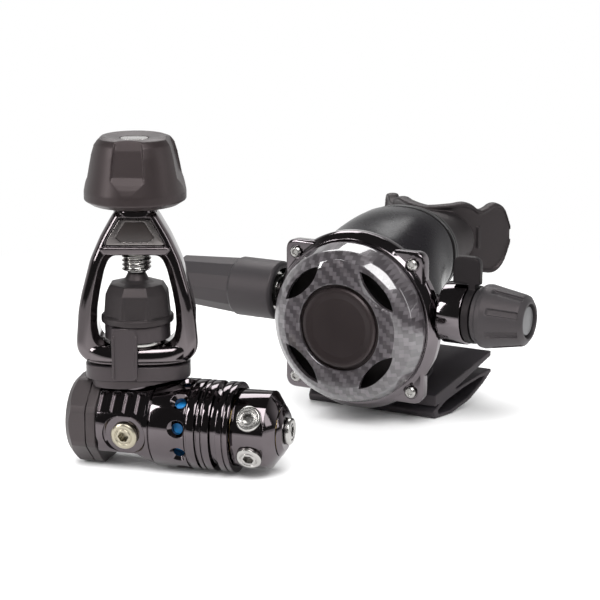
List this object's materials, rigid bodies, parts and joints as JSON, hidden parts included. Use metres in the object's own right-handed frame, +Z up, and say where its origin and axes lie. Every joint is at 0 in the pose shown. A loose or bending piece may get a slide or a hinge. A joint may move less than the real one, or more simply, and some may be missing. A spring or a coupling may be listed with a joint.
{
  "type": "scuba regulator set",
  "caption": "Scuba regulator set: yoke first stage with screw knob, dust cap and swivel turret, and a round second stage with purge button, adjustment knob, exhaust tee and mouthpiece.",
  "frame": {"origin": "centre of the footprint, on the surface that the set stands on", "axes": "+Z up, -Y towards the viewer, +X to the viewer's right"},
  "size_m": [0.2126, 0.2074, 0.1471],
  "materials": {
    "black_chrome": "dark polished metal",
    "bright_steel": "bright machined",
    "gold_steel": "pale gold machined",
    "black_rubber": "moulded matt",
    "black_plastic": "satin",
    "carbon_weave": "woven fibre under clear gloss",
    "blue_sleeve": "moulded",
    "brass": "machined"
  },
  "bodies": {
    "frame": {"main_body": "black_chrome", "turret_bolt": "black_chrome", "yoke": "black_chrome", "front_bezel": "black_chrome", "valve_barrel": "black_chrome", "low_port_plug_end": "bright_steel", "yoke_retainer": "bright_steel", "cover_screw_1": "bright_steel", "cover_screw_2": "bright_steel", "cover_screw_3": "bright_steel", "cover_screw_4": "bright_steel", "inlet_fitting": "bright_steel", "poppet_spring": "bright_steel", "hose_nut": "bright_steel", "hose_ferrule": "bright_steel", "high_port_plug_front": "gold_steel", "high_port_plug_rear": "gold_steel", "end_cap": "black_rubber", "dust_cap": "black_rubber", "dust_cap_strap": "black_rubber", "diaphragm": "black_rubber", "hose_guard": "black_rubber", "exhaust_tee": "black_rubber", "exhaust_valve": "black_rubber", "mouthpiece": "black_rubber", "high_seat": "black_plastic", "housing": "black_plastic", "mouthpiece_clamp": "black_plastic", "front_cover": "carbon_weave", "insulating_sleeve": "blue_sleeve", "high_seat_retainer": "brass", "swivel_core": "brass", "inlet_filter": "brass"},
    "piston": {"piston": "bright_steel", "main_spring": "bright_steel"},
    "turret": {"turret": "black_chrome", "low_port_plug_1": "bright_steel", "low_port_plug_2": "bright_steel", "low_port_plug_3": "bright_steel", "low_port_plug_4": "bright_steel"},
    "yoke_screw": {"yoke_screw": "bright_steel"},
    "yoke_knob": {"yoke_knob": "black_rubber", "knob_top_disc": "bright_steel"},
    "purge": {"purge_button": "black_rubber", "purge_spring": "bright_steel", "diaphragm_disc": "bright_steel"},
    "demand_lever": {"demand_lever": "bright_steel"},
    "poppet": {"poppet": "black_plastic"},
    "adjuster": {"adjustment_knob": "black_rubber", "adjustment_screw": "bright_steel", "adjustment_end_disc": "bright_steel"},
    "venturi_lever": {"venturi_lever": "black_rubber"}
  },
  "joints": [
    {"name": "piston_stroke", "type": "slide", "parent": "frame", "child": "piston", "axis": [-0.9617, 0.274, 0], "range_m": [0, 0.0008], "stiffness_N_per_m": 3000},
    {"name": "turret_swivel", "type": "hinge", "parent": "frame", "child": "turret", "pos_m": [-0.07427, -0.07009, 0.02], "axis": [0.9617, -0.274, 0], "continuous": true},
    {"name": "yoke_screw_travel", "type": "slide", "parent": "frame", "child": "yoke_screw", "axis": [0, 0, 1], "range_m": [0, 0.0135]},
    {"name": "yoke_knob_turn", "type": "hinge", "parent": "yoke_screw", "child": "yoke_knob", "pos_m": [-0.07427, -0.07009, 0.13], "axis": [0, 0, 1], "range_deg": [0, 2520]},
    {"name": "purge_press", "type": "slide", "parent": "frame", "child": "purge", "axis": [0.4756, 0.8796, 0], "range_m": [0, 0.003], "stiffness_N_per_m": 400},
    {"name": "demand_lever_swing", "type": "hinge", "parent": "frame", "child": "demand_lever", "pos_m": [0.02675, 0.00201, 0.0639], "axis": [0.8796, -0.4756, 0], "range_deg": [0, 10]},
    {"name": "poppet_stroke", "type": "slide", "parent": "frame", "child": "poppet", "axis": [0.8796, -0.4756, 0], "range_m": [0, 0.0012]},
    {"name": "adjuster_turn", "type": "hinge", "parent": "frame", "child": "adjuster", "pos_m": [0.02746, 0.00333, 0.0562], "axis": [0.8796, -0.4756, 0], "range_deg": [0, 720]},
    {"name": "venturi_lever_swing", "type": "hinge", "parent": "frame", "child": "venturi_lever", "pos_m": [0.02746, 0.00333, 0.0562], "axis": [0.8796, -0.4756, 0], "range_deg": [0, 75]}
  ],
  "couplings": [
    {"joint": "yoke_screw_travel", "follows": "yoke_knob_turn", "m_per_rad": 0.00030239},
    {"joint": "demand_lever_swing", "follows": "purge_press", "rad_per_m": 56},
    {"joint": "poppet_stroke", "follows": "purge_press", "ratio": 0.4}
  ]
}
